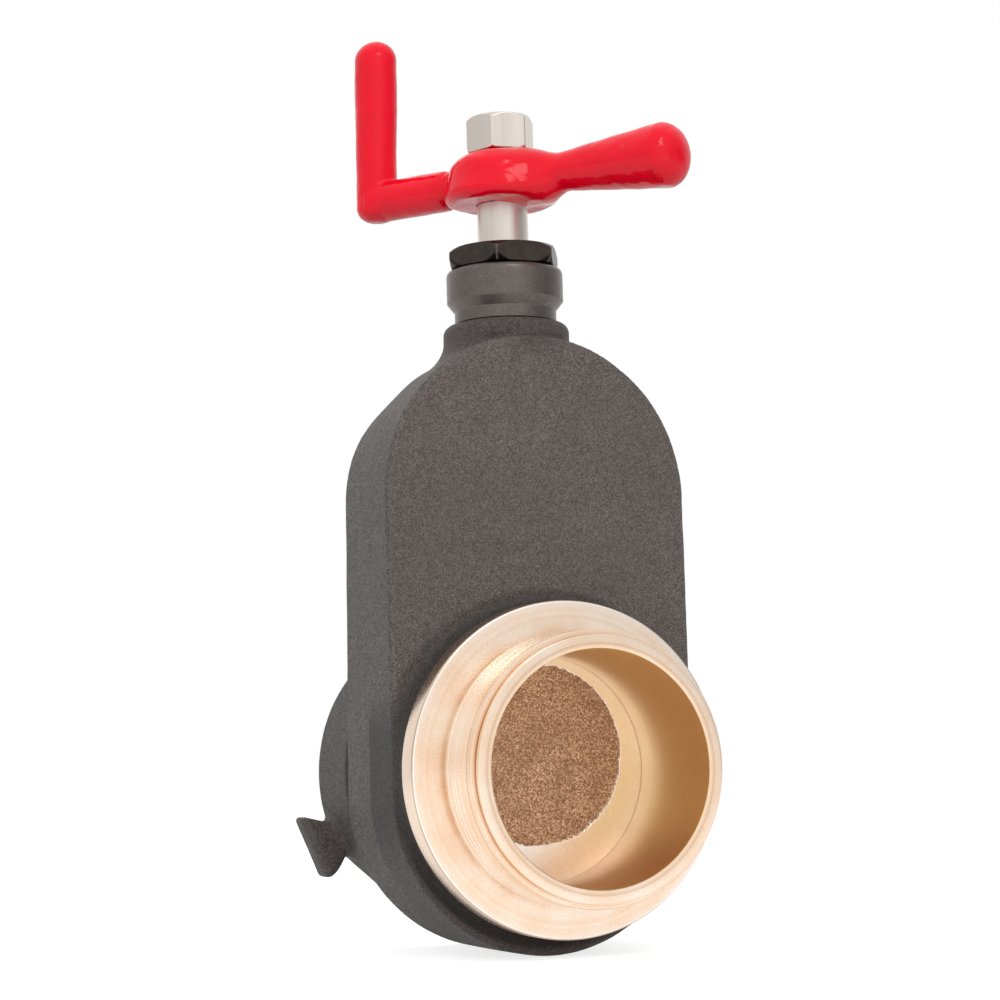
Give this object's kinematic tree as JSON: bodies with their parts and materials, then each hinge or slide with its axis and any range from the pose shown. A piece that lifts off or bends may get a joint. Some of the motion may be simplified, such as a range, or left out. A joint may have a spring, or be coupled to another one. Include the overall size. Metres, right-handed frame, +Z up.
{
  "type": "hose gate valve",
  "caption": "Hand-cranked hose gate valve: flat arched casting with a sliding gate, flanged brass outlet nipple, lugged inlet swivel and a dip-coated crank handle on a non-rising stem.",
  "frame": {"origin": "centre of the inlet swivel's mouth, on the waterway axis", "axes": "+Z up the stem towards the handle, +Y out of the inlet along the waterway, so the outlet nipple faces -Y"},
  "size_m": [0.1053, 0.1047, 0.2776],
  "materials": {
    "casting": "sand-cast light alloy with a dark grey hard coating",
    "turned": "turned light alloy with a dark grey hard coating",
    "black_nut": "blackened hexagon nut",
    "brass": "bright turned brass",
    "bronze": "machined bronze",
    "gate_bronze": "sand-cast bronze with machined lands",
    "stainless": "turned stainless steel",
    "iron": "bare iron casting under the coating",
    "red_coating": "thick glossy red dip coating",
    "rubber": "moulded black rubber",
    "packing": "braided graphite packing"
  },
  "bodies": {
    "valve_body": {"body_casting": "casting", "outlet_nipple": "brass", "outlet_o_ring": "rubber", "inlet_seat_ring": "bronze", "thrust_washer_lower": "bronze", "thrust_washer_upper": "bronze", "bonnet": "turned", "bonnet_gasket": "rubber", "packing_base_ring": "bronze", "packing_rings": "packing", "gland_follower": "bronze", "gland_nut": "black_nut", "swivel_balls": "stainless", "inlet_gasket": "rubber"},
    "stem_assembly": {"stem": "stainless", "handle_core": "iron", "handle_coating": "red_coating", "handle_nut": "stainless"},
    "gate_assembly": {"gate": "gate_bronze", "gate_nut": "bronze"},
    "swivel_assembly": {"inlet_swivel": "casting", "ball_plug": "turned"}
  },
  "joints": [
    {"name": "stem_turn", "type": "hinge", "parent": "valve_body", "child": "stem_assembly", "pos_m": [0, -0.048, 0.13], "axis": [0, 0, 1], "range_deg": [0, 2520]},
    {"name": "gate_lift", "type": "slide", "parent": "valve_body", "child": "gate_assembly", "axis": [0, 0, 1], "range_m": [0, 0.0665]},
    {"name": "swivel_turn", "type": "hinge", "parent": "valve_body", "child": "swivel_assembly", "pos_m": [0, 0, 0], "axis": [0, 1, 0], "continuous": true}
  ],
  "couplings": [
    {"joint": "gate_lift", "follows": "stem_turn", "m_per_rad": 0.001512}
  ]
}
